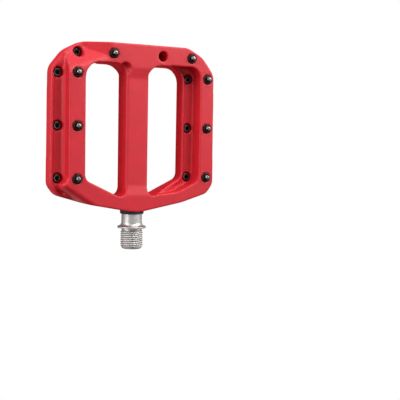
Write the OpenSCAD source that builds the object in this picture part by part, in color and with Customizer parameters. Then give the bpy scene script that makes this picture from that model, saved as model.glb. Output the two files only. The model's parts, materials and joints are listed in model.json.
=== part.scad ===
// Flat bicycle pedal: a moulded platform turning on a steel axle, with steel traction pins.
// Millimetres. +Y runs outboard along the axle, +Z is up through the tread, and the origin is the
// centre of the axle flange's face that seats on the crank arm.
// The platform looks the same after half a turn about the axle, so both treads are alike.

/* [Platform] */
// Full width, fore and aft of the axle, near the crank
platform_w = 107; // [106:0.2:108]
// Full width at the outboard end
outboard_w = 105.6; // [104:0.2:106]
// Crank face to the outboard edge
outboard_y = 112.8; // [112.4:0.1:114]
// Thickness between the two treads
platform_t = 16.2; // [15.8:0.1:17]
// Width of the spar that holds the axle
spar_w = 15.2; // [14.6:0.1:16]
// Thickness of the spar
spar_t = 13.6; // [13:0.1:14.4]
// Distance of the window's outer edge from the axle
window_x = 34.1; // [33.6:0.1:34.6]
// Height of a channel's floor above mid-thickness
channel_floor = -1; // [-1.2:0.1:-0.6]
// Height of the rounded lips beside the channels
lip_h = 0.4; // [0.2:0.1:1]
// Width of a lip
lip_w = 1.9; // [1.5:0.1:2]
// Distance of the outer channel's wall from the axle
outer_wall_x = 44.4; // [44:0.1:45]
// Distance of the inner channel's wall from the axle
inner_wall_x = 43.3; // [43:0.1:43.7]

/* [Pins] */
// Distance of the inner pin rows from the axle
inner_row_x = 39.2; // [38.8:0.1:39.8]
// Distance of the outer pin rows from the axle
outer_row_x = 48.3; // [47.9:0.1:48.8]
// Crank face to the nearest pin of a row
row_y = 31.4; // [31:0.1:32]
// Spacing of the pins along a row
row_pitch = 31.25; // [31:0.05:31.5]
// Distance of the end bar's pins from the axle
end_pins_x = [16.4, 36.5]; // [16:0.1:37]
// Crank face to the end bar's pins
end_pins_y = 106.3; // [106:0.1:106.6]
// How far a pin's tip stands above the tread
pin_h = 3; // [2.5:0.5:4]

/* [Axle] */
// Major diameter of the crank thread
thread_d = 14.14; // [14:0.02:14.2]
// Pitch of the crank thread
thread_pitch = 1.27; // [1.2:0.01:1.3]
// Turns of the crank thread
thread_turns = 8; // [6:1:9]
// Diameter of the bare shank beside the platform
shank_d = 12.9; // [12.8:0.02:12.96]
// Diameter of the flange that seats on the crank arm
flange_d = 17.8; // [17:0.1:18.4]
// Diameter of the journal in the bush
journal_d = 9.96; // [9.94:0.01:9.98]

/* [Hidden] */
$fn = 48;

RED = "#c8242f";
STEEL = "#b9b7b4";
BLACK = "#1b1b1d";
BRONZE = "#8c6a3f";
WHITE = "#e6e4da";

half_w = platform_w / 2;
tread = platform_t / 2;
past = 2;                 // how far a cut runs past the face that it opens
far = 70;                 // beyond the platform on either side
past_end = 120;           // beyond its outboard end

// Platform outline: corners of its +X half from the nose to the outboard edge, with their radii
nose_y = 9.9;
half_end = outboard_w / 2;
outline_half = [
    [0, nose_y, 30], [31, nose_y + 5.7, 25], [half_w - 4.4, nose_y + 11.1, 8],
    [half_w, nose_y + 17.3, 7], [half_end, outboard_y - 16, 10],
    [half_end - 8.4, outboard_y - 5.4, 16], [half_end - 19, outboard_y, 10]];
outline_corners = concat(
    outline_half, [for (i = [len(outline_half) - 1:-1:1]) mirrored_x(outline_half[i])]);

// Window in the +X half
window_end_y = 100.5;
window_corners = [
    [6, 30, 8], [8.4, 18.4, 4], [window_x, 30.7, 5], [window_x, window_end_y, 9],
    [6.4, window_end_y, 9]];

// Channels: the outer one runs along the -X edge of the top tread, the inner one along the +X
// window, and the floor of each arm climbs to the tread beside the axle
outer_rise_y = [96, 98.8]; // where the outer channel's floor rises to the sunk corner
outer_end_y = 105;
outer_bend = [-outer_wall_x, 28];
outer_arm_end = [-22, 13.4];
outer_channel_corners = [
    [-far, outer_end_y, 0], [-outer_wall_x, outer_end_y, 0],
    [outer_bend[0], outer_bend[1], 5], [outer_arm_end[0], outer_arm_end[1], 0],
    [outer_arm_end[0], 0, 0], [-far, 0, 0]];
outer_climb_x = [-30, -17];
outer_foot = [1.6, 2];    // reach and height of the slope at the foot of the outer wall
arm_round = 4;            // along the arm, the wall rounds over into the tread
arm_lean = 1.3;           // and leans out by this below that
inner_end_y = 101;
inner_bend = [inner_wall_x, 29.2];
inner_channel_corners = [
    [22, inner_end_y, 0], [inner_wall_x, inner_end_y, 7], [inner_bend[0], inner_bend[1], 6],
    [28, 22.2, 12], [10, 20.6, 0], [20, 60, 0]];
inner_climb_x = [32, 9];
inner_foot = [0.6, 7.6];
climb_foot = 34;          // the climbs act only inboard of this
climb_r = 8;              // rounding of each climb's foot and top

// Sunk corner: beyond the outer channel, the outboard corner lies level with the lips and climbs
// along the end bar, and a ramp that starts where the outer wall ends comes down to it
corner_climb_x = [-33, -19];
corner_ramp_at = [-outer_wall_x, 95.2];
corner_ramp_turn = 20;    // its top edge leans outboard by this from the X axis
corner_ramp_run = 9;
corner_ramp_r = 7;

spar_r = 1.7;             // rounding of the spar's long edges

// Spar relief: the spar's top lies under the tread between two ramps
relief_y = [20.5, 27, 92, 98.5];
relief_r = 9;

// Scoop between the spar and the end bar, a part of a sphere, with its radius at the tread
scoop_at = [-8.9, 97.5];
scoop_r = 4;
scoop_rim = 3.96;
skim = 0.02;              // a ramp's cut runs on this far above the tread

// Bores along the axle
seal_bore_r = 7.4;
seal_bore_y = 12.6;
bush_r = 6;
bush_y = [13.4, 25.4];
spar_bore_r = 5.4;
bearing_od = 12;
bearing_id = 8;
bearing_w = 3.5;
bearing_y = [95.6, 99.1];
race_end_y = bearing_y[1] + bearing_w;
cap_bore_r = 6.6;

// Axle
flange_t = 1;
neck_r = 6.2;
undercut_r = 7.4;
undercut = 0.3;
thread_depth = 0.75;
crest_w = 0.24;
thread_neck = 1.5;
thread_end_y = -(thread_neck + thread_turns * thread_pitch + 1.3);
hex_key = 8;
hex_depth = 8;
shoulder_r = 4.6;
nut_thread_r = 2.97;
axle_end_y = 108.2;
running_gap = 0.05;

// Bearing insides
ball_r = 0.6;
ball_count = 12;
ball_pitch_r = (bearing_od + bearing_id) / 4;
race_t = 0.56;
groove_gap = 0.05;

// Washer, locknut and end cap
washer_t = 0.5;
nut_af = 9;
nut_t = 4.2;
insert_t = 1.2;
cap_y = 108.8;
cap_hex = 6;
oring_y = 110.2;
oring_r = 0.7;
groove_r = cap_bore_r - 2 * oring_r;

// Traction pins
pin_r = 1.5;
pin_hole_r = 1.6;
head_r = 2.45;
head_h = 2.6;
head_face = 1.6;          // a top pin's head starts this far above mid-thickness
head_bore_r = 3.1;
socket_af = 2.5;
socket_depth = 1.5;
pin_nut_af = 5.5;
pin_nut_t = 2.4;
pin_nut_proud = 0.8;
pocket_gap = 0.06;

inner_row = [for (k = [0:2]) [-inner_row_x, row_y + k * row_pitch]];
outer_row = [for (k = [0:2]) [outer_row_x, row_y + k * row_pitch]];
end_bar_row = [[-end_pins_x[0], end_pins_y], [end_pins_x[1], end_pins_y]];
top_pins = concat(inner_row, outer_row, end_bar_row);

// ---------- geometry helpers ----------

function mirrored_x(p) = [-p[0], p[1], p[2]];
function unit(v) = v / norm(v);
function wrap(a) = a > 180 ? a - 360 : a < -180 ? a + 360 : a;
function hex_r(af) = af / 2 / cos(30);

// Points of a corner at b between a and c, rounded to radius b[2] by an arc
function corner_arc(a, b, c) =
    let (
        here = [b[0], b[1]],
        u = unit([a[0], a[1]] - here),
        v = unit([c[0], c[1]] - here),
        half = acos(u * v) / 2,
        centre = here + unit(u + v) * b[2] / sin(half),
        p = here + u * b[2] / tan(half) - centre,
        q = here + v * b[2] / tan(half) - centre,
        start = atan2(p[1], p[0]),
        sweep = wrap(atan2(q[1], q[0]) - start),
        steps = max(2, ceil(abs(sweep) / 12)))
    [for (k = [0:steps]) centre + b[2] * [cos(start + sweep * k / steps),
                                          sin(start + sweep * k / steps)]];

// A polygon's points, from corners [x, y, radius]
function rounded(corners) =
    let (n = len(corners))
    [for (i = [0:n - 1])
        each corners[i][2] == 0
            ? [[corners[i][0], corners[i][1]]]
            : corner_arc(corners[(i + n - 1) % n], corners[i], corners[(i + 1) % n])];

function edge_normal(a, b) = unit([b[1] - a[1], a[0] - b[0]]);

// Counterclockwise corners moved outward by d, each with its radius changed to suit
function grown(corners, d) =
    let (n = len(corners))
    [for (i = [0:n - 1])
        let (
            n1 = edge_normal(corners[(i + n - 1) % n], corners[i]),
            n2 = edge_normal(corners[i], corners[(i + 1) % n]),
            shift = (n1 + n2) * d / (1 + n1 * n2))
        [corners[i][0] + shift[0], corners[i][1] + shift[1], max(0.5, corners[i][2] + d)]];

module slab(points, z0, z1) {
    translate([0, 0, z0])
        linear_extrude(height = z1 - z0)
            polygon(points);
}

// A section drawn in Y and Z, drawn out along X
module along_x(x0, x1, section) {
    translate([x0, 0, 0])
        rotate([90, 0, 90])
            linear_extrude(height = x1 - x0)
                polygon(section);
}

// A section drawn in X and Z, drawn out along Y
module along_y(y0, y1, section) {
    translate([0, y1, 0])
        rotate([90, 0, 0])
            linear_extrude(height = y1 - y0)
                polygon(section);
}

// A profile of [radius, y] pairs turned about the axle
module turned(profile) {
    rotate([-90, 0, 0])
        rotate_extrude()
            polygon(profile);
}

module ring(r_out, r_in, y0, y1) {
    turned([[r_in, y0], [r_out, y0], [r_out, y1], [r_in, y1]]);
}

module rod(r, y0, y1) {
    translate([0, y0, 0])
        rotate([-90, 0, 0])
            cylinder(r = r, h = y1 - y0);
}

module hex_rod(af, y0, y1) {
    translate([0, y0, 0])
        rotate([-90, 0, 0])
            cylinder(r = hex_r(af), h = y1 - y0, $fn = 6);
}

module on_both_treads() {
    children();
    rotate([0, 180, 0]) children();
}

// ---------- platform ----------

module platform_blank() {
    difference() {
        slab(rounded(outline_corners), -tread, tread);
        for (side = [0, 1])
            mirror([side, 0, 0])
                slab(rounded(window_corners), -tread - past, tread + past);
    }
}

module spar() {
    w = spar_w / 2;
    t = spar_t / 2;
    along_y(14, 104, rounded([[-w, -t, spar_r], [w, -t, spar_r], [w, t, spar_r], [-w, t, spar_r]]));
}

module spar_relief() {
    low = tread + skim;
    top = tread + past;
    along_x(-9, 9, rounded([
        [0, top, 0], [0, low, 0], [relief_y[0], low, relief_r], [relief_y[1], spar_t / 2, relief_r],
        [relief_y[2], spar_t / 2, relief_r], [relief_y[3], low, relief_r], [past_end, low, 0],
        [past_end, top, 0]]));
}

module scoop() {
    translate([scoop_at[0], scoop_at[1], tread + sqrt(scoop_r * scoop_r - scoop_rim * scoop_rim)])
        sphere(r = scoop_r);
}

// Space above a floor that climbs along X to the tread
module above_climb(climb_x, floor_z, from_y, to_y) {
    away = climb_x[0] < climb_x[1] ? far : -far;
    low = tread + skim;
    top = tread + past;
    along_y(from_y, to_y, rounded([
        [-away, top, 0], [-away, floor_z, 0], [climb_x[0], floor_z, climb_r],
        [climb_x[1], low, climb_r], [away, low, 0], [away, top, 0]]));
}

// Space above the outer channel's floor, which rises at its outboard end
module above_rise() {
    top = tread + past;
    end_z = lip_h + skim;
    along_x(-far, 0, rounded([
        [0, top, 0], [0, channel_floor, 0], [outer_rise_y[0], channel_floor, climb_r],
        [outer_rise_y[1], end_z, climb_r], [past_end, end_z, 0], [past_end, top, 0]]));
}

// Slope at the foot of a wall that runs from a to b with the channel on its right
module wall_foot(a, b, foot) {
    run = b - a;
    base = channel_floor - past;
    lean = foot[0] / (foot[1] - channel_floor);
    translate([a[0], a[1], 0])
        rotate([0, 0, atan2(run[1], run[0])])
            along_x(0, norm(run), [
                [-foot[0] - lean * past, base], [0, foot[1]], [1, foot[1]], [1, base]]);
}

// Rounded shoulder of a wall that runs from a to b with the channel on its right, and a turned
// end of the same profile round a
module wall_shoulder(a, b) {
    run = b - a;
    drop = tread - channel_floor;
    slant = atan2(arm_lean, drop);
    edge = arm_round * tan(45 - slant / 2);
    lean = arm_lean / drop;
    translate([a[0], a[1], 0]) {
        rotate([0, 0, atan2(run[1], run[0])])
            along_x(0, norm(run), rounded([
                [1, -tread, 0], [1, tread + skim, 0], [-edge, tread + skim, arm_round],
                [-edge - lean * (2 * tread + skim), -tread, 0]]));
        rotate_extrude()
            polygon(rounded([
                [0, -tread, 0], [0, tread + skim, 0], [edge, tread + skim, 0.96 * arm_round],
                [edge + lean * (2 * tread + skim), -tread, 0]]));
    }
}

// Space that a channel may take beside the outline without cutting its lip
module within_lip() {
    slab(rounded(grown(outline_corners, -lip_w)), -tread, tread + past);
    translate([-far, 0, lip_h]) cube([2 * far, past_end, tread]);
}

module outer_channel() {
    difference() {
        intersection() {
            slab(rounded(outer_channel_corners), channel_floor, tread + past);
            within_lip();
            above_climb(outer_climb_x, channel_floor, 0, past_end);
            above_rise();
        }
        wall_foot([-outer_wall_x, outer_end_y], outer_bend, outer_foot);
        wall_shoulder(outer_bend, outer_arm_end);
    }
}

module inner_channel() {
    region = rounded(inner_channel_corners);
    difference() {
        intersection() {
            union() {
                slab(region, lip_h, tread + past);
                difference() {
                    slab(region, channel_floor, tread);
                    slab(rounded(grown(window_corners, lip_w)), -tread, tread + past);
                }
            }
            union() {
                above_climb(inner_climb_x, channel_floor, 0, climb_foot);
                translate([0, climb_foot, -tread]) cube([far, far, 2 * tread + past]);
            }
        }
        wall_foot([inner_wall_x, inner_end_y], inner_bend, inner_foot);
    }
}

module sunk_corner() {
    low = tread + skim;
    top = tread + past;
    intersection() {
        above_climb(corner_climb_x, lip_h, 0, past_end);
        translate([corner_ramp_at[0], corner_ramp_at[1], 0])
            rotate([0, 0, corner_ramp_turn])
                along_x(-far, far, rounded([
                    [far, top, 0], [far, lip_h, 0],
                    [corner_ramp_run, lip_h, corner_ramp_r],
                    [0, low, corner_ramp_r], [-climb_foot, low, 0], [-climb_foot, top, 0]]));
    }
}

module axle_bores() {
    rod(seal_bore_r, nose_y - past, seal_bore_y);
    rod(bush_r, seal_bore_y - past, bush_y[1]);
    rod(spar_bore_r, bush_y[0], race_end_y);
    rod(bearing_od / 2, bearing_y[0], outboard_y);
    rod(cap_bore_r, race_end_y, outboard_y + past);
}

module pin_seat() {
    top = tread - pin_nut_t + pin_nut_proud;
    cylinder(r = pin_hole_r, h = tread + past);
    translate([0, 0, -tread - past])
        cylinder(r = head_bore_r, h = tread + past + head_face + head_h);
    translate([0, 0, top])
        cylinder(r = hex_r(pin_nut_af) + pocket_gap, h = pin_nut_t + past, $fn = 6);
}

module platform_body() {
    color(RED)
        difference() {
            union() {
                platform_blank();
                spar();
            }
            on_both_treads() {
                spar_relief();
                scoop();
                outer_channel();
                inner_channel();
                sunk_corner();
                for (at = top_pins)
                    translate([at[0], at[1], 0]) pin_seat();
            }
            axle_bores();
        }
}

// ---------- axle and its fittings ----------

function thread_points() =
    let (
        crest = thread_d / 2,
        root = crest - thread_depth,
        flank = (thread_pitch - 2 * crest_w) / 2)
    [for (k = [0:thread_turns])
        let (y = -thread_neck - k * thread_pitch)
        each [[crest, y], [crest, y - crest_w],
              [root, y - crest_w - flank], [root, y - 2 * crest_w - flank]]];

module axle() {
    end_r = thread_d / 2 - 1.1;
    journal_r = journal_d / 2;
    flange_r = flange_d / 2;
    shank_r = shank_d / 2;
    profile = concat(
        [[0, axle_end_y], [nut_thread_r - 0.4, axle_end_y], [nut_thread_r, axle_end_y - 0.4],
         [nut_thread_r, race_end_y], [bearing_id / 2, race_end_y],
         [bearing_id / 2, bearing_y[0]], [shoulder_r, bearing_y[0]],
         [journal_r, bush_y[1] + 6], [journal_r, bush_y[0] - 0.4],
         [shank_r, bush_y[0] - 0.4 - (shank_r - journal_r) / 2], [shank_r, 3],
         [shank_r + 0.5, 2.2], [flange_r - 0.9, flange_t + 0.35], [flange_r, flange_t],
         [flange_r, 0.2], [flange_r - 0.2, 0], [undercut_r, 0], [undercut_r, undercut],
         [neck_r, undercut], [neck_r, 0.2 - thread_neck],
         [thread_d / 2, -thread_neck]],
        thread_points(),
        [[end_r, thread_end_y], [0, thread_end_y]]);
    color(STEEL)
        difference() {
            turned(profile);
            hex_rod(hex_key, thread_end_y - past, thread_end_y + hex_depth);
        }
}

module axle_seal() {
    in_r = shank_d / 2 + running_gap;
    color(BLACK)
        turned([[in_r, 8.9], [seal_bore_r - 0.4, 8.9], [seal_bore_r, 9.3],
                [seal_bore_r, seal_bore_y - 0.2], [in_r + 0.3, seal_bore_y - 0.2],
                [in_r + 0.3, 11], [in_r, 10.6]]);
}

module axle_bush() {
    color(BRONZE) ring(bush_r, journal_d / 2 + running_gap, bush_y[0], bush_y[1]);
}

// ---------- bearings ----------

module ball_groove(y) {
    rotate([-90, 0, 0])
        rotate_extrude()
            translate([ball_pitch_r, y + bearing_w / 2])
                circle(r = ball_r + groove_gap);
}

module bearing_outer_race(y) {
    color(STEEL)
        difference() {
            ring(bearing_od / 2, bearing_od / 2 - race_t, y, y + bearing_w);
            ball_groove(y);
        }
}

module bearing_inner_race(y) {
    color(STEEL)
        difference() {
            ring(bearing_id / 2 + race_t, bearing_id / 2, y, y + bearing_w);
            ball_groove(y);
        }
}

module each_ball(y) {
    for (k = [0:ball_count - 1])
        rotate([0, k * 360 / ball_count, 0])
            translate([ball_pitch_r, y + bearing_w / 2, 0])
                children();
}

module bearing_balls(y) {
    color(STEEL) each_ball(y) sphere(r = ball_r);
}

// A ring with a round pocket drilled radially for each ball
module bearing_cage(y) {
    side = 0.35;
    mid = y + bearing_w / 2;
    color(BRONZE)
        difference() {
            ring(ball_pitch_r + 0.3, ball_pitch_r - 0.3, mid - ball_r - side, mid + ball_r + side);
            each_ball(y)
                rotate([0, 90, 0])
                    cylinder(r = ball_r + 0.02, h = 2, center = true);
        }
}

module bearing_shields(y) {
    shield_t = 0.2;
    color(STEEL)
        for (face = [y, y + bearing_w - shield_t])
            ring(bearing_od / 2 - race_t, bearing_id / 2 + race_t + 0.1, face, face + shield_t);
}

// ---------- outboard end ----------

module axle_washer() {
    color(STEEL) ring(4.5, nut_thread_r + 0.03, race_end_y, race_end_y + washer_t);
}

module axle_locknut() {
    y0 = race_end_y + washer_t;
    color(STEEL)
        difference() {
            intersection() {
                hex_rod(nut_af, y0, y0 + nut_t);
                turned([[0, y0], [nut_af / 2, y0], [hex_r(nut_af), y0 + 0.4],
                        [hex_r(nut_af), y0 + nut_t - 1.2], [nut_af / 2 - 0.2, y0 + nut_t],
                        [0, y0 + nut_t]]);
            }
            rod(nut_thread_r + 0.02, y0 - past, y0 + nut_t + past);
            rod(3.9, y0 + nut_t - insert_t, y0 + nut_t + past);
        }
}

module locknut_insert() {
    y1 = race_end_y + washer_t + nut_t;
    color(WHITE) ring(3.9, nut_thread_r + 0.02, y1 - insert_t, y1 - 0.1);
}

module end_cap() {
    color(BLACK)
        difference() {
            turned([[0, 109.6], [4.6, 109.6], [4.6, cap_y], [cap_bore_r, cap_y],
                    [cap_bore_r, oring_y - oring_r], [groove_r, oring_y - oring_r],
                    [groove_r, oring_y + oring_r], [cap_bore_r, oring_y + oring_r],
                    [cap_bore_r, outboard_y - 0.5], [cap_bore_r - 0.5, outboard_y],
                    [0, outboard_y]]);
            hex_rod(cap_hex, outboard_y - 2.2, outboard_y + past);
        }
}

module end_cap_oring() {
    color(BLACK)
        rotate([-90, 0, 0])
            rotate_extrude()
                translate([cap_bore_r - oring_r, oring_y])
                    circle(r = oring_r - 0.02);
}

// ---------- traction pins ----------

module pin_screw() {
    seat = head_face + head_h;
    tip = tread + pin_h;
    difference() {
        union() {
            translate([0, 0, head_face]) cylinder(r1 = head_r - 0.3, r2 = head_r, h = 0.3);
            translate([0, 0, head_face + 0.3]) cylinder(r = head_r, h = head_h - 0.3);
            translate([0, 0, seat]) cylinder(r = pin_r, h = tip - 0.4 - seat);
            translate([0, 0, tip - 0.4]) cylinder(r1 = pin_r, r2 = pin_r - 0.4, h = 0.4);
        }
        translate([0, 0, head_face - past])
            cylinder(r = hex_r(socket_af), h = past + socket_depth, $fn = 6);
    }
}

module pin_nut() {
    base = tread - pin_nut_t + pin_nut_proud;
    translate([0, 0, base])
        difference() {
            intersection() {
                cylinder(r = hex_r(pin_nut_af), h = pin_nut_t, $fn = 6);
                cylinder(r1 = hex_r(pin_nut_af) + 3.2, r2 = pin_nut_af / 2 - 0.1, h = pin_nut_t);
            }
            translate([0, 0, -past]) cylinder(r = pin_r + 0.02, h = pin_nut_t + 2 * past);
        }
}

module row_of(places, turn) {
    color(BLACK)
        rotate([0, turn, 0])
            for (at = places)
                translate([at[0], at[1], 0])
                    children();
}

platform_body();
axle();
axle_seal();
axle_bush();
bearing_outer_race(bearing_y[0]);  // inner_bearing_outer_race
bearing_inner_race(bearing_y[0]);  // inner_bearing_inner_race
bearing_balls(bearing_y[0]);  // inner_bearing_balls
bearing_cage(bearing_y[0]);  // inner_bearing_cage
bearing_shields(bearing_y[0]);  // inner_bearing_shields
bearing_outer_race(bearing_y[1]);  // outer_bearing_outer_race
bearing_inner_race(bearing_y[1]);  // outer_bearing_inner_race
bearing_balls(bearing_y[1]);  // outer_bearing_balls
bearing_cage(bearing_y[1]);  // outer_bearing_cage
bearing_shields(bearing_y[1]);  // outer_bearing_shields
axle_washer();
axle_locknut();
locknut_insert();
end_cap();
end_cap_oring();
row_of(inner_row, 0) pin_screw();  // top_inner_row_screws
row_of(inner_row, 0) pin_nut();  // top_inner_row_nuts
row_of(outer_row, 0) pin_screw();  // top_outer_row_screws
row_of(outer_row, 0) pin_nut();  // top_outer_row_nuts
row_of(end_bar_row, 0) pin_screw();  // top_end_bar_screws
row_of(end_bar_row, 0) pin_nut();  // top_end_bar_nuts
row_of(inner_row, 180) pin_screw();  // bottom_inner_row_screws
row_of(inner_row, 180) pin_nut();  // bottom_inner_row_nuts
row_of(outer_row, 180) pin_screw();  // bottom_outer_row_screws
row_of(outer_row, 180) pin_nut();  // bottom_outer_row_nuts
row_of(end_bar_row, 180) pin_screw();  // bottom_end_bar_screws
row_of(end_bar_row, 180) pin_nut();  // bottom_end_bar_nuts
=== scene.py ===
"""Flat bicycle pedal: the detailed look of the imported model. Metres, in the model's own frame."""
import json
import math

import bmesh
import bpy
import numpy as np
from mathutils import Matrix, Vector


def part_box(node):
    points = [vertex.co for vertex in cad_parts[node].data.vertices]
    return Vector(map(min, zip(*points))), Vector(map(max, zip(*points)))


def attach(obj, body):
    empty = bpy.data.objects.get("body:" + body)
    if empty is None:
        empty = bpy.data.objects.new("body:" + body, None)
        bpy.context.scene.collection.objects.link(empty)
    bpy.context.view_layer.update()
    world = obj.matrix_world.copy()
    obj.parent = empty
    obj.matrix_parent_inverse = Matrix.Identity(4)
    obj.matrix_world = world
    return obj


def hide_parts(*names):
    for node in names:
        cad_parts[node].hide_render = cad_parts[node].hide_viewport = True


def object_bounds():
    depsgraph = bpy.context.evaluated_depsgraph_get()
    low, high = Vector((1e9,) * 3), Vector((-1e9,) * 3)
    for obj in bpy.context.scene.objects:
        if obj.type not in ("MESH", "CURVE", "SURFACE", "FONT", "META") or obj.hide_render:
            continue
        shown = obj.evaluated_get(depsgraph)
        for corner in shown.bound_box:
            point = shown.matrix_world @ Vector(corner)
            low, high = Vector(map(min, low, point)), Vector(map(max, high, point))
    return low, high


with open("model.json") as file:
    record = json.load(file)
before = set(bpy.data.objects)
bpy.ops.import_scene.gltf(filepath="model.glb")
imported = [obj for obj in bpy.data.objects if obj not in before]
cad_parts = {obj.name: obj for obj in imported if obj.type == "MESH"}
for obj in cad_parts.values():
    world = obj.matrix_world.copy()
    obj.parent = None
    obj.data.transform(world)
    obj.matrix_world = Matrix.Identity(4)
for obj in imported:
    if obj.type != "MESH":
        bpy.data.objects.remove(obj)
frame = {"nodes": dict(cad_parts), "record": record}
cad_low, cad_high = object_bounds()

MM = 0.001
TURN = 2 * math.pi

# Driving dimensions of the details, in millimetres
BODY_VOXEL = 0.42
BODY_SMOOTHING = 12             # rounds of smoothing
BODY_TRIANGLES = 190_000
SEAT_CLEARANCE = 0.6            # the body isn't smoothed this near the bores along the axle

CRANK_PITCH = 1.27
CRANK_THREAD_DEPTH = 0.78
CRANK_THREAD_END = -1.35        # where the crank thread fades out beside the flange
CRANK_KEY = 8.0                 # hex socket, across flats
CRANK_KEY_DEPTH = 8.0
RELIEF_R = 6.2                  # plain neck between thread and flange
UNDERCUT_R = 7.4                # ring cut into the flange's crank face
UNDERCUT_DEPTH = 0.3
FLANGE_T = 1.02
FLANGE_EDGE_R = 0.2
FLARE_END = 3.6                 # where the flange's outboard side has swept in to the shank
SHANK_R = 6.45
JOURNAL_R = 4.98                # in the bush
BEARING_SEAT_R = 4.0
LOCKNUT_THREAD_R = 2.97
LOCKNUT_THREAD_DEPTH = 0.4
LOCKNUT_PITCH = 0.8

SEAL_INNER_R = 6.5
SEAL_EDGE_R = 0.35

PIN_R = 1.5
PIN_PITCH = 0.5
PIN_THREAD_DEPTH = 0.3
PIN_HEAD = 2.6                  # height of the head
PIN_HEAD_EDGE_R = 0.42
PIN_KEY = 2.5
PIN_KEY_DEPTH = 1.5
PIN_NUT = 5.5                   # across flats
PIN_NUT_BORE_R = 1.52
PIN_NUT_CHAMFER = 32            # degrees from the nut's face
PIN_SPINS = (23, 47)            # a row's first screw is turned by this, each next one by this more
ROW_GAP = 3                     # two solids of a row are further apart than this

# Points round each turned shape
AXLE_SEGMENTS = 144
SEAL_SEGMENTS = 96
SCREW_SEGMENTS = 36
NUT_SEGMENTS = 48

EDGE = 0.12                     # small machined chamfers
SHARP_ANGLE = 38                # edges sharper than this, in degrees, are shaded as edges

# The camera: lens and sensor in millimetres, its place in metres
CAMERA_LENS = 71.13
CAMERA_SENSOR = 36
CAMERA_PLACE = (-0.20782, 0.05990, 0.44771)
CAMERA_FORWARD = (0.49576, -0.08459, -0.86433)
CAMERA_UP = (0.02466, 0.99621, -0.08336)

# The studio: softboxes as (azimuth, elevation, width, height, power), in degrees, metres and
# watts, a band of light arched over the crank end, and a floor that glows round the platform as
# a stand-in lamp, with painted red bounce light under the platform and a painted shadow under the
# axle
LAMP_DISTANCE = 0.9
LAMPS = {
    "key": (45, 40, 0.6, 0.5, 5.3),
    "outboard": (84, 42, 0.6, 0.5, 3.3),
    "end": (84, 8, 0.9, 0.25, 1.2),
    "left": (158, 12, 0.85, 0.35, 6.2),
    "right": (14, 26, 0.5, 0.4, 1.4),
}
BAND_Y = -0.11                  # Y of the directions in the middle of the band
BAND_REACH = 0.24
BAND_BRIGHT = (0.25, 1.3)       # at the horizon and overhead
FLOOR_SIZE = 8
FLOOR_GLOW = 0.6
# painted shadow: the floor's glow is dimmed under the axle
FLOOR_AXLE_GLOW = 0.12          # under the axle
# painted bounce light: strength of the dim red glow the floor gives off under the platform
FLOOR_SHADE = 0.6
FLOOR_FADE = (-0.004, 0.022)    # the floor's light changes between these distances from a box
# colour of the painted red bounce light under the platform
SHADE_COLOUR = (1, 0.12, 0.15)
SHADE_INSET = 0.012             # the red light starts this far outboard of the platform's nose


# ---------- camera, light and floor ----------

def look_along(place, forward, up):
    """A matrix that stands at place and looks along forward."""
    right = forward.cross(up).normalized()
    level = right.cross(forward).normalized()
    turn = Matrix((right, level, -forward.normalized())).transposed().to_4x4()
    turn.translation = place
    return turn


def make_camera():
    """The camera, looking down on the top tread with the axle towards the picture's lower edge."""
    data = bpy.data.cameras.new("camera")
    data.sensor_width = CAMERA_SENSOR
    data.lens = CAMERA_LENS
    data.clip_start = 0.01
    data.clip_end = 20
    camera = bpy.data.objects.new("camera", data)
    camera.matrix_world = look_along(
        Vector(CAMERA_PLACE), Vector(CAMERA_FORWARD), Vector(CAMERA_UP))
    bpy.context.scene.collection.objects.link(camera)
    bpy.context.scene.camera = camera


def make_lamps():
    """Softboxes on a sphere round the object, facing its centre."""
    centre = (cad_low + cad_high) / 2
    for name, (azimuth, elevation, width, height, power) in LAMPS.items():
        data = bpy.data.lights.new(name, "AREA")
        data.shape = "RECTANGLE"
        data.size = width
        data.size_y = height
        data.energy = power
        turn, rise = math.radians(azimuth), math.radians(elevation)
        way = Vector((math.cos(rise) * math.cos(turn), math.cos(rise) * math.sin(turn),
                      math.sin(rise)))
        lamp = bpy.data.objects.new(name, data)
        lamp.location = centre + way * LAMP_DISTANCE
        lamp.rotation_euler = (-way).to_track_quat("-Z", "Y").to_euler()
        bpy.context.scene.collection.objects.link(lamp)


def white_to_camera(nodes, links, target, other):
    """Joins to target a shader that is plain white in the picture and other for every other ray."""
    seen = nodes.new("ShaderNodeLightPath")
    mix = nodes.new("ShaderNodeMixShader")
    white = nodes.new("ShaderNodeEmission")
    links.new(seen.outputs["Is Camera Ray"], mix.inputs[0])
    links.new(other, mix.inputs[1])
    links.new(white.outputs["Emission"], mix.inputs[2])
    links.new(mix.outputs["Shader"], target)


def maths(nodes, links, operation, *values):
    """A Math node's output; each value is a number or another node's output."""
    node = nodes.new("ShaderNodeMath")
    node.operation = operation
    for socket, value in zip(node.inputs, values):
        if isinstance(value, (int, float)):
            socket.default_value = value
        else:
            links.new(value, socket)
    return node.outputs["Value"]


def carried(nodes, links, value, start, end, low, high, kind="LINEAR"):
    """The value between start and end, carried to low and high."""
    node = nodes.new("ShaderNodeMapRange")
    node.interpolation_type = kind
    links.new(value, node.inputs["Value"])
    sockets = ("From Min", "From Max", "To Min", "To Max")
    for socket, number in zip(sockets, (start, end, low, high)):
        node.inputs[socket].default_value = number
    return node.outputs["Result"]


def smooth(*values):
    """The same, carried smoothly."""
    return carried(*values, kind="SMOOTHSTEP")


def split(nodes, links, coordinate):
    """The X, Y and Z outputs of a texture coordinate."""
    where = nodes.new("ShaderNodeTexCoord")
    apart = nodes.new("ShaderNodeSeparateXYZ")
    links.new(where.outputs[coordinate], apart.inputs["Vector"])
    return apart.outputs


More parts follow.
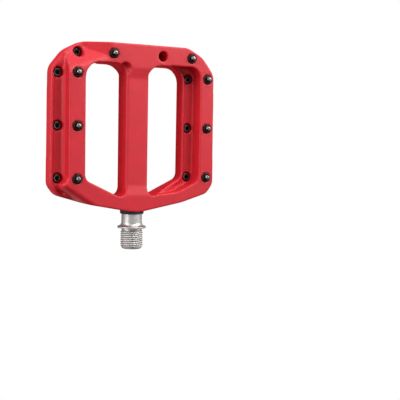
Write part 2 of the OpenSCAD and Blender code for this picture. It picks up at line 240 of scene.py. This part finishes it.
def make_world():
    """A dark room with a band of soft light arched over the crank end, from side to side."""
    world = bpy.data.worlds.new("studio")
    bpy.context.scene.world = world
    world.use_nodes = True
    nodes, links = world.node_tree.nodes, world.node_tree.links
    room = nodes["Background"]
    room.inputs["Color"].default_value = (1, 1, 1, 1)
    way = split(nodes, links, "Generated")
    aside = maths(nodes, links, "ABSOLUTE", maths(nodes, links, "SUBTRACT", way["Y"], BAND_Y))
    within = smooth(nodes, links, aside, 0, BAND_REACH, 1, 0)
    bright = smooth(nodes, links, way["Z"], 0, 1, *BAND_BRIGHT)
    links.new(maths(nodes, links, "MULTIPLY", within, bright), room.inputs["Strength"])
    white_to_camera(nodes, links, nodes["World Output"].inputs["Surface"],
                    room.outputs["Background"])


def outside(nodes, links, low, high):
    """How far a place on the floor lies outside a box, and below 0 within it."""
    place = split(nodes, links, "Object")
    beyond = []
    for k, axis in enumerate("XY"):
        across = maths(nodes, links, "SUBTRACT", place[axis], (low[k] + high[k]) / 2)
        away = maths(nodes, links, "ABSOLUTE", across)
        beyond.append(maths(nodes, links, "SUBTRACT", away, (high[k] - low[k]) / 2))
    return maths(nodes, links, "MAXIMUM", *beyond)


def make_floor():
    """A plain white floor. Its glow is a stand-in lamp: dim red painted bounce light under the
    platform, dim painted shadow under the axle.
    """
    bpy.ops.mesh.primitive_plane_add(size=FLOOR_SIZE, location=(0, 0, cad_low.z))
    floor = bpy.context.object
    floor.name = "floor"
    paint = bpy.data.materials.new("floor")
    paint.use_nodes = True
    nodes, links = paint.node_tree.nodes, paint.node_tree.links
    nodes.remove(nodes["Principled BSDF"])
    low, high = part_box("platform_body")
    from_platform = outside(nodes, links, low + Vector((0, SHADE_INSET, 0)), high)
    from_axle = outside(nodes, links, *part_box("axle"))
    # painted bounce light: under the platform the floor glows dim red in place of light thrown down
    # by the platform
    shade = nodes.new("ShaderNodeEmission")
    shade.inputs["Color"].default_value = (*SHADE_COLOUR, 1)
    shade.inputs["Strength"].default_value = FLOOR_SHADE
    glow = nodes.new("ShaderNodeEmission")
    # painted shadow: the floor's glow is dimmed under the axle
    links.new(smooth(nodes, links, from_axle, *FLOOR_FADE, FLOOR_AXLE_GLOW, FLOOR_GLOW),
              glow.inputs["Strength"])
    both = nodes.new("ShaderNodeMixShader")
    links.new(smooth(nodes, links, from_platform, *FLOOR_FADE, 0, 1), both.inputs[0])
    links.new(shade.outputs["Emission"], both.inputs[1])
    links.new(glow.outputs["Emission"], both.inputs[2])
    white_to_camera(nodes, links, nodes["Material Output"].inputs["Surface"],
                    both.outputs["Shader"])
    floor.data.materials.append(paint)


# ---------- materials ----------

# Heights of the pins' head faces and tips from the platform's middle plane, in millimetres
HEAD_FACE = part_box("top_inner_row_screws")[0].z / MM
PIN_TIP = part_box("top_inner_row_screws")[1].z / MM


class Finish:
    """A Principled material, with helpers that join procedural variation to its sockets."""

    def __init__(self, name, colour, roughness, metallic=0.0):
        self.material = bpy.data.materials.new(name)
        self.material.use_nodes = True
        self.nodes = self.material.node_tree.nodes
        self.links = self.material.node_tree.links
        self.shader = self.nodes["Principled BSDF"]
        self.colour = colour
        self.shader.inputs["Base Color"].default_value = (*colour, 1)
        self.shader.inputs["Roughness"].default_value = roughness
        self.shader.inputs["Metallic"].default_value = metallic
        self.where = self.nodes.new("ShaderNodeTexCoord").outputs["Object"]

    def noise(self, feature_mm, stretch=(1, 1, 1), detail=3.0):
        """A noise whose features are about feature_mm across, stretched along each axis."""
        mapping = self.nodes.new("ShaderNodeMapping")
        mapping.inputs["Scale"].default_value = [1 / (feature_mm * MM * s) for s in stretch]
        self.links.new(self.where, mapping.inputs["Vector"])
        texture = self.nodes.new("ShaderNodeTexNoise")
        texture.inputs["Scale"].default_value = 1.0
        texture.inputs["Detail"].default_value = detail
        self.links.new(mapping.outputs["Vector"], texture.inputs["Vector"])
        return texture.outputs["Fac"]

    def ranged(self, value, low, high, start=0.3, end=0.7):
        """The value between start and end, carried to low and high."""
        return carried(self.nodes, self.links, value, start, end, low, high)

    def along(self, axis):
        """The place along an axis of the model."""
        return split(self.nodes, self.links, "Object")[axis]

    def edges(self, start, end):
        """0 on flat and hollow places, 1 on sharp convex edges."""
        geometry = self.nodes.new("ShaderNodeNewGeometry")
        return self.ranged(geometry.outputs["Pointiness"], 0, 1, start, end)

    def mixed(self, factor, first, second):
        """A colour from first to second; each is a colour or another node's colour."""
        node = self.nodes.new("ShaderNodeMix")
        node.data_type = "RGBA"
        self.links.new(factor, node.inputs["Factor"])
        for socket, value in ((node.inputs[6], first), (node.inputs[7], second)):
            if isinstance(value, tuple):
                socket.default_value = (*value, 1)
            else:
                self.links.new(value, socket)
        return node.outputs[2]

    def shades(self, value, dark, light):
        """The base colour, darker and lighter by these factors as value changes."""
        return self.mixed(self.ranged(value, 0, 1), tuple(dark * c for c in self.colour),
                          tuple(min(1.0, light * c) for c in self.colour))

    def paint(self, colour):
        """Joins a colour to the base colour."""
        self.links.new(colour, self.shader.inputs["Base Color"])

    def rough(self, value, low, high, start=0.3, end=0.7):
        """Joins the value between start and end, carried to low and high, to the roughness."""
        self.links.new(self.ranged(value, low, high, start, end), self.shader.inputs["Roughness"])

    def bump(self, height, depth_mm, strength, under=None):
        """Joins a bump of that depth, over another bump if one is given."""
        node = self.nodes.new("ShaderNodeBump")
        node.inputs["Distance"].default_value = depth_mm * MM
        node.inputs["Strength"].default_value = strength
        self.links.new(height, node.inputs["Height"])
        if under is not None:
            self.links.new(under, node.inputs["Normal"])
        self.links.new(node.outputs["Normal"], self.shader.inputs["Normal"])
        return node.outputs["Normal"]


def moulded_nylon(name, colour, roughness):
    """Glass-filled nylon: fine grain, faint cloudiness and lighter convex edges, partly edge wear
    and partly a painted highlight.
    """
    f = Finish(name, colour, roughness)
    clouds = f.shades(f.noise(9, detail=4), 0.93, 1.05)
    specks = f.mixed(f.ranged(f.noise(0.35), 0, 1, 0.60, 0.75), clouds,
                     tuple(min(1.0, c * 1.25 + 0.01) for c in colour))
    # convex edges painted lighter: partly edge wear, partly a painted highlight on rounded rims
    light = tuple(min(1.0, c * 1.22 + 0.02) for c in colour)
    edge_wear_and_highlight = maths(f.nodes, f.links, "MULTIPLY", f.edges(0.52, 0.60), 0.55)
    f.paint(f.mixed(edge_wear_and_highlight, specks, light))
    f.rough(f.noise(2.2, detail=5), roughness - 0.06, roughness + 0.07)
    flow = f.bump(f.noise(3.5, detail=2), 0.03, 0.5)
    f.bump(f.noise(0.28, detail=4), 0.016, 0.6, under=flow)
    return f.material


def turned_steel(name, colour, roughness):
    """Steel with fine machined rings round the axle, duller on the thread, with painted shade in
    the thread's grooves and a painted highlight on its crests.
    """
    f = Finish(name, colour, roughness, metallic=1.0)
    square = [maths(f.nodes, f.links, "POWER", f.along(axis), 2) for axis in "XZ"]
    out = maths(f.nodes, f.links, "SQRT", maths(f.nodes, f.links, "ADD", *square))
    crest = crank_radius()
    groove = f.ranged(out, 0, 1, (crest - 0.75 * CRANK_THREAD_DEPTH) * MM, (crest - 0.1) * MM)
    threaded = f.ranged(f.along("Y"), 1, 0, (CRANK_THREAD_END - 0.05) * MM,
                        (CRANK_THREAD_END + 0.35) * MM)
    plain = f.shades(f.noise(4.5, detail=3), 0.95, 1.04)
    # painted shade darkens the thread's roots and a painted highlight lightens its crests
    thread_shade_and_highlight = f.mixed(groove, tuple(0.7 * c for c in colour), tuple(1.45 * c for c in colour))
    f.paint(f.mixed(threaded, plain, thread_shade_and_highlight))
    f.rough(threaded, roughness, roughness + 0.2, 0, 1)
    f.bump(f.noise(0.1, stretch=(60, 1, 60), detail=4), 0.001, 0.15)
    return f.material


def black_oxide(name, colour):
    """Blackened steel, rubbed brighter on its edges."""
    f = Finish(name, colour, 0.36, metallic=0.5)
    f.shader.inputs["Specular IOR Level"].default_value = 0.15
    patch = f.noise(0.9, detail=5)
    film = f.mixed(f.ranged(patch, 0, 1), tuple(0.6 * c for c in colour), (0.045, 0.026, 0.022))
    f.paint(f.mixed(f.edges(0.58, 0.72), film, (0.11, 0.09, 0.08)))
    f.rough(patch, 0.30, 0.46)
    f.bump(f.noise(0.18), 0.006, 0.5)
    return f.material


def burnished_steel(name, colour):
    """Dark steel with tips rubbed bright, head faces dimmed by painted shade and sockets painted
    black as shade.
    """
    f = Finish(name, colour, 0.28, metallic=1.0)
    patch = f.noise(0.8, detail=5)
    dark = tuple(0.04 * c for c in colour)
    light = tuple(min(1.0, 1.2 * c) for c in colour)
    height = maths(f.nodes, f.links, "ABSOLUTE", f.along("Z"))
    rubbed = f.mixed(f.ranged(patch, 0, 0.8), light, tuple(0.6 * c for c in colour))
    # painted shade: head faces dimmed in patches, and the rest below the tips, the sockets among
    # it, near black
    head_painted_shade = f.mixed(f.ranged(patch, 0, 0.8), tuple(0.7 * c for c in colour), dark)
    faces = f.mixed(f.ranged(height, 0, 1, HEAD_FACE * MM, (HEAD_FACE + 0.35) * MM), head_painted_shade, dark)
    tips = f.ranged(height, 0, 1, (PIN_TIP - 1.6) * MM, (PIN_TIP - 0.8) * MM)
    f.paint(f.mixed(tips, faces, rubbed))
    f.rough(patch, 0.20, 0.34)
    f.bump(patch, 0.01, 0.4)
    return f.material


def polished_steel(name, colour):
    """Ground and polished steel with a faint smear."""
    f = Finish(name, colour, 0.16, metallic=1.0)
    smear = f.noise(1.2, detail=4)
    f.paint(f.shades(smear, 0.92, 1.05))
    f.rough(smear, 0.12, 0.24)
    f.bump(f.noise(0.08, stretch=(40, 1, 40)), 0.002, 0.5)
    return f.material


def plated_steel(name, colour):
    """Zinc plate with a fine crystal pattern."""
    f = Finish(name, colour, 0.3, metallic=1.0)
    crystals = f.noise(0.5, detail=5)
    f.paint(f.shades(crystals, 0.85, 1.1))
    f.rough(crystals, 0.24, 0.42)
    f.bump(crystals, 0.004, 0.6)
    return f.material


def soft_metal(name, colour, roughness):
    """Brass or bronze with fine pores."""
    f = Finish(name, colour, roughness, metallic=1.0)
    pores = f.noise(0.25, detail=6)
    f.paint(f.shades(pores, 0.75, 1.15))
    f.rough(pores, roughness - 0.08, roughness + 0.12)
    f.bump(pores, 0.01, 0.6)
    return f.material


def plain_polymer(name, colour, roughness):
    """Rubber or nylon with a fine grain."""
    f = Finish(name, colour, roughness)
    grain = f.noise(0.2, detail=4)
    f.paint(f.shades(f.noise(1.5, detail=4), 0.85, 1.2))
    f.rough(grain, roughness - 0.06, roughness + 0.08)
    f.bump(grain, 0.012, 0.6)
    return f.material


def make_finishes():
    """A material for each slot of the record, from the record's own colours."""
    colour = {m["slot"]: tuple(m["base_color"]) for m in frame["record"]["materials"]}
    return {
        "red_nylon": moulded_nylon("red_nylon", colour["red_nylon"], 0.45),
        "satin_steel": turned_steel("satin_steel", colour["satin_steel"], 0.44),
        "pin_steel": burnished_steel("pin_steel", colour["pin_steel"]),
        "black_steel": black_oxide("black_steel", colour["black_steel"]),
        "plated_steel": plated_steel("plated_steel", colour["plated_steel"]),
        "bearing_steel": polished_steel("bearing_steel", colour["bearing_steel"]),
        "cage_brass": soft_metal("cage_brass", colour["cage_brass"], 0.3),
        "bronze_bush": soft_metal("bronze_bush", colour["bronze_bush"], 0.5),
        "black_rubber": plain_polymer("black_rubber", colour["black_rubber"], 0.62),
        "black_nylon": plain_polymer("black_nylon", colour["black_nylon"], 0.42),
        "white_nylon": plain_polymer("white_nylon", colour["white_nylon"], 0.45),
    }


# ---------- meshes ----------

def spokes(segments):
    """The angles of that many points round a turned shape."""
    return np.arange(segments) * TURN / segments


def hexagon(across_flats, angles):
    """Distance of a hexagon's side from its centre, at each angle."""
    return across_flats / 2 / np.cos((angles + math.pi / 6) % (math.pi / 3) - math.pi / 6)


def screw_thread(crest, depth, pitch, start, end, angles, rows=14):
    """Rings of a right-hand thread from height start to end, fading out at both ends, with that
    many rows of points a turn."""
    count = max(2, round(abs(end - start) / pitch * rows))
    rings = []
    for k in range(count + 1):
        height = start + (end - start) * k / count
        phase = (height / pitch - angles / TURN) % 1
        ridge = np.clip((0.5 - np.abs(phase - 0.5)) * 3.2 - 0.3, 0, 1)
        fade = min(1, k / rows, (count - k) / rows)
        rings.append((crest - depth * (1 - ridge * fade), height))
    return rings


def spun(rings, segments):
    """Vertices and faces of a solid of [radius, height] rings about Z, in millimetres.
    A radius is a number, or one for each of the segments. 0 at both ends closes the solid, and
    otherwise its last ring joins its first, as round a bore."""
    angles = spokes(segments)
    ways = np.stack([np.cos(angles), np.sin(angles)], 1)
    points, starts = [], []
    for radius, height in rings:
        starts.append(len(points))
        if np.isscalar(radius) and radius == 0:
            points.append((0.0, 0.0, height))
        else:
            reach = np.broadcast_to(radius, segments)
            tall = np.broadcast_to(height, segments)
            points.extend((w[0] * r, w[1] * r, h) for w, r, h in zip(ways, reach, tall))
    sizes = [b - a for a, b in zip(starts, starts[1:] + [len(points)])]
    pairs = list(zip(range(len(rings)), range(1, len(rings))))
    if sizes[0] > 1:
        pairs.append((len(rings) - 1, 0))
    faces = []
    for low, high in pairs:
        for i in range(segments):
            j = (i + 1) % segments
            a, b = starts[low], starts[high]
            if sizes[low] == 1:
                faces.append((a, b + j, b + i))
            elif sizes[high] == 1:
                faces.append((a + i, a + j, b))
            else:
                faces.append((a + i, a + j, b + j, b + i))
    return np.array(points), faces


def piece(name, shapes, body, slot, stands_for):
    """One object from (vertices in millimetres, faces, matrix) shapes, in its CAD node's place."""
    mesh = bpy.data.meshes.new(name)
    points, faces = [], []
    for vertices, own_faces, place in shapes:
        first = len(points)
        points.extend(place @ Vector(v * MM) for v in vertices)
        faces.extend(tuple(first + i for i in face) for face in own_faces)
    mesh.from_pydata(points, [], faces)
    tidy = bmesh.new()
    tidy.from_mesh(mesh)
    bmesh.ops.recalc_face_normals(tidy, faces=tidy.faces)
    tidy.to_mesh(mesh)
    tidy.free()
    mesh.shade_smooth()
    mesh.set_sharp_from_angle(angle=math.radians(SHARP_ANGLE))
    mesh.materials.append(FINISHES[slot])
    made = bpy.data.objects.new(name, mesh)
    bpy.context.scene.collection.objects.link(made)
    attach(made, body)
    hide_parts(stands_for)


def turned_piece(name, rings, segments, body, slot, stands_for):
    """A piece turned about the axle, from rings whose heights run outboard."""
    upright_to_axle = Matrix.Rotation(-math.pi / 2, 4, "X")
    piece(name, [(*spun(rings, segments), upright_to_axle)], body, slot, stands_for)


def solids(node):
    """(lowest, highest corner) of each separate solid of a row, found by the gaps along it."""
    points = np.array([v.co for v in frame["nodes"][node].data.vertices])
    along = int(np.argmax(np.ptp(points[:, :2], axis=0)))
    order = points[np.argsort(points[:, along])]
    breaks = np.where(np.diff(order[:, along]) > ROW_GAP * MM)[0] + 1
    return [(part.min(0), part.max(0)) for part in np.split(order, breaks)]


# ---------- the platform ----------

def moulded_platform():
    """The platform with the soft edges of a moulding: the CAD shape, remeshed and relaxed."""
    source = frame["nodes"]["platform_body"]
    work = bpy.data.objects.new("work", source.data.copy())
    bpy.context.scene.collection.objects.link(work)
    remesh = work.modifiers.new("even", "REMESH")
    remesh.mode = "VOXEL"
    remesh.voxel_size = BODY_VOXEL * MM
    graph = bpy.context.evaluated_depsgraph_get()
    mesh = bpy.data.meshes.new_from_object(work.evaluated_get(graph))
    work.modifiers.clear()
    work.data = mesh
    points = np.zeros(len(mesh.vertices) * 3, np.float32)
    mesh.vertices.foreach_get("co", points)
    points = points.reshape(-1, 3)
    radius = np.hypot(points[:, 0], points[:, 2])
    bore = max(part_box(n)[1].x for n in ("axle_seal", "inner_bearing_outer_race", "end_cap"))
    free = work.vertex_groups.new(name="free")
    clear = np.where(radius > bore + SEAT_CLEARANCE * MM)[0]
    free.add(clear.tolist(), 1.0, "REPLACE")
    soften = work.modifiers.new("soften", "SMOOTH")
    soften.factor = 0.5
    soften.iterations = BODY_SMOOTHING
    soften.vertex_group = "free"
    thin = work.modifiers.new("thin", "DECIMATE")
    mesh.calc_loop_triangles()
    thin.ratio = min(1.0, BODY_TRIANGLES / len(mesh.loop_triangles))
    graph = bpy.context.evaluated_depsgraph_get()
    final = bpy.data.meshes.new_from_object(work.evaluated_get(graph))
    bpy.data.objects.remove(work)
    final.name = "platform_moulding"
    final.materials.clear()
    final.materials.append(FINISHES["red_nylon"])
    final.shade_smooth()
    made = bpy.data.objects.new("platform_moulding", final)
    bpy.context.scene.collection.objects.link(made)
    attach(made, "platform_group")
    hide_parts("platform_body")


# ---------- axle and seal ----------

def crank_radius():
    """Radius over the crank thread, in millimetres, from the record."""
    mounts = {m["name"]: m for m in frame["record"]["mounts"]}
    return mounts["crank_thread"]["dims"]["r_mm"]


def arc(centre, radius, start, end, steps):
    """Points of an arc of [radius, height], with angles in degrees."""
    return [(centre[0] + radius[0] * math.cos(math.radians(start + (end - start) * k / steps)),
             centre[1] + radius[1] * math.sin(math.radians(start + (end - start) * k / steps)))
            for k in range(steps + 1)]


def crank_end(start, angles):
    """Rings from the bottom of the hex socket round the end face and along the crank thread."""
    crest = crank_radius()
    key = hexagon(CRANK_KEY, angles)
    bottom = start + CRANK_KEY_DEPTH
    rings = [(0, bottom + 1.6), (key * 0.5, bottom + 0.7), (key * 0.96, bottom),
             (key, bottom - 0.2), (key, start + 0.4), (key + 0.35, start), (crest - 1.5, start),
             (crest - 1.3, start + 0.06), (crest - CRANK_THREAD_DEPTH - 0.05, start + 0.55)]
    return rings + screw_thread(crest, CRANK_THREAD_DEPTH, CRANK_PITCH, start + 0.6,
                                CRANK_THREAD_END, angles)


def flange(radius):
    """Rings of the neck, the flange with its undercut crank face, and the flare to the shank."""
    edge = FLANGE_EDGE_R
    chamfer = 0.04
    rings = [(RELIEF_R + 0.05, -1.2), (RELIEF_R, -1.1), (RELIEF_R, UNDERCUT_DEPTH - chamfer),
             (RELIEF_R + chamfer, UNDERCUT_DEPTH), (UNDERCUT_R - chamfer, UNDERCUT_DEPTH),
             (UNDERCUT_R, UNDERCUT_DEPTH - chamfer), (UNDERCUT_R, 0.05), (UNDERCUT_R + 0.05, 0),
             (radius - edge, 0)]
    rings += arc((radius - edge, edge), (edge, edge), -90, 0, 4)
    rings += arc((radius - edge, FLANGE_T - edge), (edge, edge), 0, 75, 5)
    rings += arc((radius - 0.5, FLARE_END), (radius - 0.5 - SHANK_R, FLARE_END - FLANGE_T - 0.13),
                 -90, -180, 12)
    return rings


def journal(end, angles):
    """Rings of the shank, the journal, the bearings' seat and the locknut's thread."""
    seal_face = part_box("axle_seal")[0].y / MM
    bush_start, bush_end = (corner.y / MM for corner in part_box("axle_bush"))
    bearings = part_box("inner_bearing_inner_race")[0].y / MM
    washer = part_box("axle_washer")[0].y / MM
    rings = [(SHANK_R, seal_face), (SHANK_R, bush_start - 1.2), (JOURNAL_R + 0.2, bush_start - 0.5),
             (JOURNAL_R, bush_start - 0.4), (JOURNAL_R, bush_end + 6), (4.6, bearings - 0.1),
             (4.5, bearings), (BEARING_SEAT_R, bearings), (BEARING_SEAT_R, washer),
             (LOCKNUT_THREAD_R, washer)]
    rings += screw_thread(LOCKNUT_THREAD_R, LOCKNUT_THREAD_DEPTH, LOCKNUT_PITCH, washer + 0.1,
                          end - 0.3, angles)
    return rings + [(LOCKNUT_THREAD_R - LOCKNUT_THREAD_DEPTH, end - 0.05), (2.5, end), (0, end)]


def axle():
    """The axle, from its hex socket round the crank thread and flange to the outboard end."""
    low, high = (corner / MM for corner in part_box("axle"))
    angles = spokes(AXLE_SEGMENTS)
    rings = crank_end(low.y, angles) + flange(high.x) + journal(high.y, angles)
    turned_piece("turned_axle", rings, AXLE_SEGMENTS, "axle_group", "satin_steel", "axle")


def seal():
    """A rubber ring with a groove round its inboard face, a rounded rim and a stepped bore."""
    low, high = (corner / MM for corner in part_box("axle_seal"))
    inner = SEAL_INNER_R
    edge = SEAL_EDGE_R
    rings = [(inner, 9.5), (inner + 0.05, low.y + 0.1), (inner + 0.15, low.y),
             (inner + 0.35, low.y + 0.05), (inner + 0.42, low.y + 0.22),
             (inner + 0.5, low.y + 0.05)]
    rings += arc((high.x - edge, low.y + edge), (edge, edge), -90, 0, 6)
    rings += [(high.x, high.y - 0.1), (high.x - 0.1, high.y), (inner + 0.4, high.y),
              (inner + 0.3, high.y - 0.1), (inner + 0.3, 11), (inner, 10.6)]
    turned_piece("shaft_seal", rings, SEAL_SEGMENTS, "platform_group", "black_rubber", "axle_seal")


# ---------- traction pins ----------

def pin_screw(length, head_radius):
    """A socket-head screw standing on Z, its head's face at 0 and its point at length."""
    angles = spokes(SCREW_SEGMENTS)
    key = hexagon(PIN_KEY, angles)
    edge = PIN_HEAD_EDGE_R
    rings = [(0, PIN_KEY_DEPTH + 0.25), (key * 0.5, PIN_KEY_DEPTH + 0.1), (key, PIN_KEY_DEPTH),
             (key, EDGE), (key + EDGE, 0), (head_radius - edge, 0)]
    rings += arc((head_radius - edge, edge), (edge, edge), -70, 0, 4)
    rings += [(head_radius, PIN_HEAD - EDGE), (head_radius - EDGE, PIN_HEAD),
              (PIN_R + 0.1, PIN_HEAD)]
    rings += screw_thread(PIN_R, PIN_THREAD_DEPTH, PIN_PITCH, PIN_HEAD + 0.2, length - 0.3, angles,
                          rows=7)
    rings += [(PIN_R - PIN_THREAD_DEPTH - EDGE, length - 0.08), (PIN_R - 0.55, length),
              (0, length)]
    return spun(rings, SCREW_SEGMENTS)


def pin_nut(height):
    """A hex nut standing on Z, with a conical chamfer on top and a countersunk bore."""
    angles = spokes(NUT_SEGMENTS)
    side = hexagon(PIN_NUT, angles)
    chamfer = PIN_NUT / 2 - 0.15
    drop = (side - chamfer) * math.tan(math.radians(PIN_NUT_CHAMFER))
    rings = [(PIN_NUT_BORE_R, 0), (side - EDGE, 0), (side, EDGE), (side, height - drop - 0.06),
             (side - 0.04, height - drop), (chamfer, height), (PIN_NUT_BORE_R + 0.35, height),
             (PIN_NUT_BORE_R, height - 0.3)]
    return spun(rings, NUT_SEGMENTS)


def pins(row):
    """The screws and the nuts of one row, each in its CAD node's place."""
    screws, nuts = f"{row}_screws", f"{row}_nuts"
    top = row.startswith("top")
    turn = Matrix.Identity(4) if top else Matrix.Rotation(math.pi, 4, "Y")
    slots = {part["node"]: part["material_slot"] for part in frame["record"]["subparts"]}
    for node in (screws, nuts):
        shapes = []
        for k, (low, high) in enumerate(solids(node)):
            middle = (low + high) / 2
            base = low[2] if top else high[2]
            tall = (high[2] - low[2]) / MM
            if node == screws:
                solid = pin_screw(tall, (high[0] - low[0]) / 2 / MM)
                degrees = PIN_SPINS[0] + PIN_SPINS[1] * k
            else:
                solid = pin_nut(tall)
                degrees = 0
            spin = Matrix.Rotation(math.radians(degrees), 4, "Z")
            shapes.append((*solid, Matrix.Translation((middle[0], middle[1], base)) @ turn @ spin))
        piece(f"{node}_detailed", shapes, "platform_group", slots[node], node)


def keep_the_rest():
    """Gives every CAD node its slot's material. Those that no piece stands for are what shows."""
    for part in frame["record"]["subparts"]:
        node = frame["nodes"][part["node"]]
        node.data.materials.clear()
        node.data.materials.append(FINISHES[part["material_slot"]])


FINISHES = make_finishes()
make_camera()
make_lamps()
make_world()
make_floor()
moulded_platform()
axle()
seal()
for tread in ("top", "bottom"):
    for place in ("inner_row", "outer_row", "end_bar"):
        pins(f"{tread}_{place}")
keep_the_rest()
bpy.context.scene.view_settings.view_transform = "Standard"
